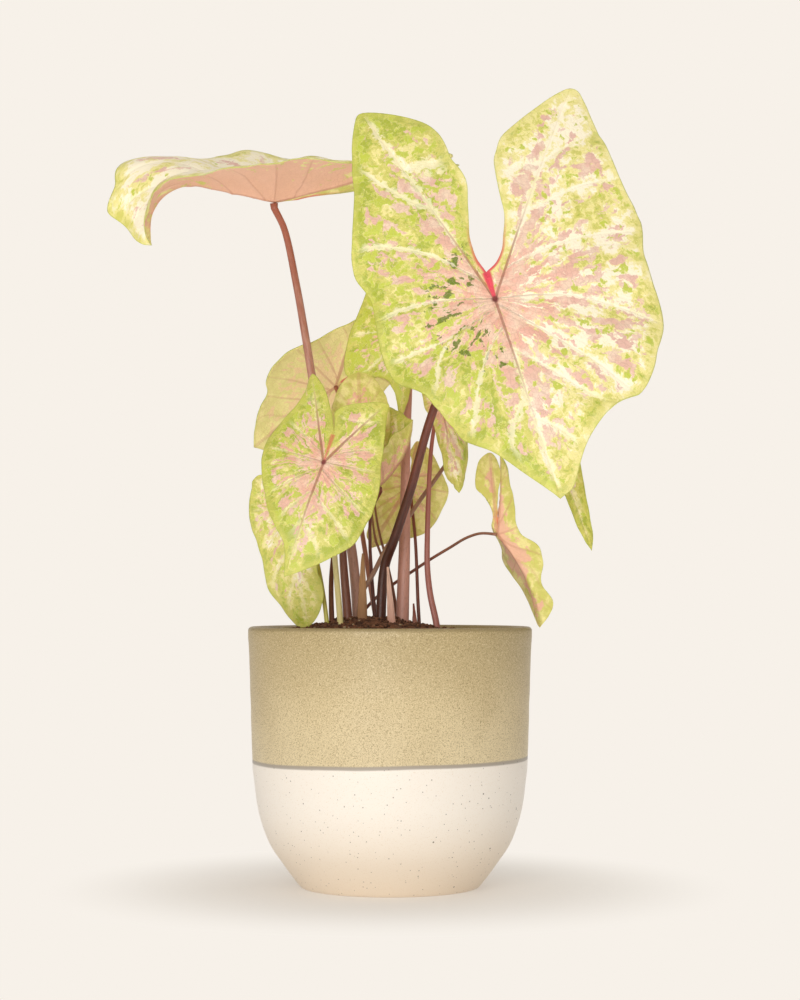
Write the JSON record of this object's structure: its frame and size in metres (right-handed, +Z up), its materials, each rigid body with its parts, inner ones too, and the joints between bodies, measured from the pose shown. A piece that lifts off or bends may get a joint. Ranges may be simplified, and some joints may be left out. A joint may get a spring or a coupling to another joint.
{
  "type": "potted caladium",
  "caption": "Young caladium with waved heart-shaped leaves on slender stalks, growing in a round glazed pot filled with soil.",
  "frame": {"origin": "centre of the pot's flat foot, on the surface that it stands on", "axes": "+Z up along the pot's axis, -Y towards the front, +X to the right seen from the front"},
  "size_m": [0.4192, 0.255, 0.5936],
  "materials": {
    "glaze": "satin speckled glaze, tan above and cream below",
    "soil": "crumbly, matt",
    "tuber": "rough, matt",
    "blade_green": "satin, waxy",
    "blade_pale": "satin, waxy",
    "blade_shaded": "satin, waxy",
    "stalk_dark": "satin, speckled",
    "stalk_brown": "satin, speckled",
    "stalk_pink": "satin",
    "stalk_pale": "satin",
    "sheath": "dry, papery"
  },
  "bodies": {
    "root": {"pot": "glaze", "soil": "soil", "tuber_left": "tuber", "tuber_right": "tuber", "blade_front": "blade_green", "blade_top": "blade_pale", "blade_left_front": "blade_green", "blade_left_back": "blade_shaded", "blade_middle": "blade_green", "blade_left_low": "blade_pale", "blade_right_back": "blade_green", "blade_right_low": "blade_shaded", "blade_centre_low": "blade_green", "blade_right_inner": "blade_green", "blade_young_standing": "blade_shaded", "blade_young_folded": "blade_shaded", "blade_small_back": "blade_green", "stalk_front": "stalk_dark", "stalk_top": "stalk_brown", "stalk_left_front": "stalk_pale", "stalk_left_back": "stalk_brown", "stalk_middle": "stalk_pink", "stalk_left_low": "stalk_pale", "stalk_right_back": "stalk_brown", "stalk_right_low": "stalk_brown", "stalk_centre_low": "stalk_dark", "stalk_right_inner": "stalk_pink", "stalk_young_standing": "stalk_brown", "stalk_young_folded": "stalk_dark", "stalk_small_back": "stalk_brown", "spear_short": "stalk_pale", "spear_tall": "stalk_pale", "sheath_brown": "sheath", "sheath_pink": "sheath", "sheath_small": "sheath"}
  },
  "joints": []
}
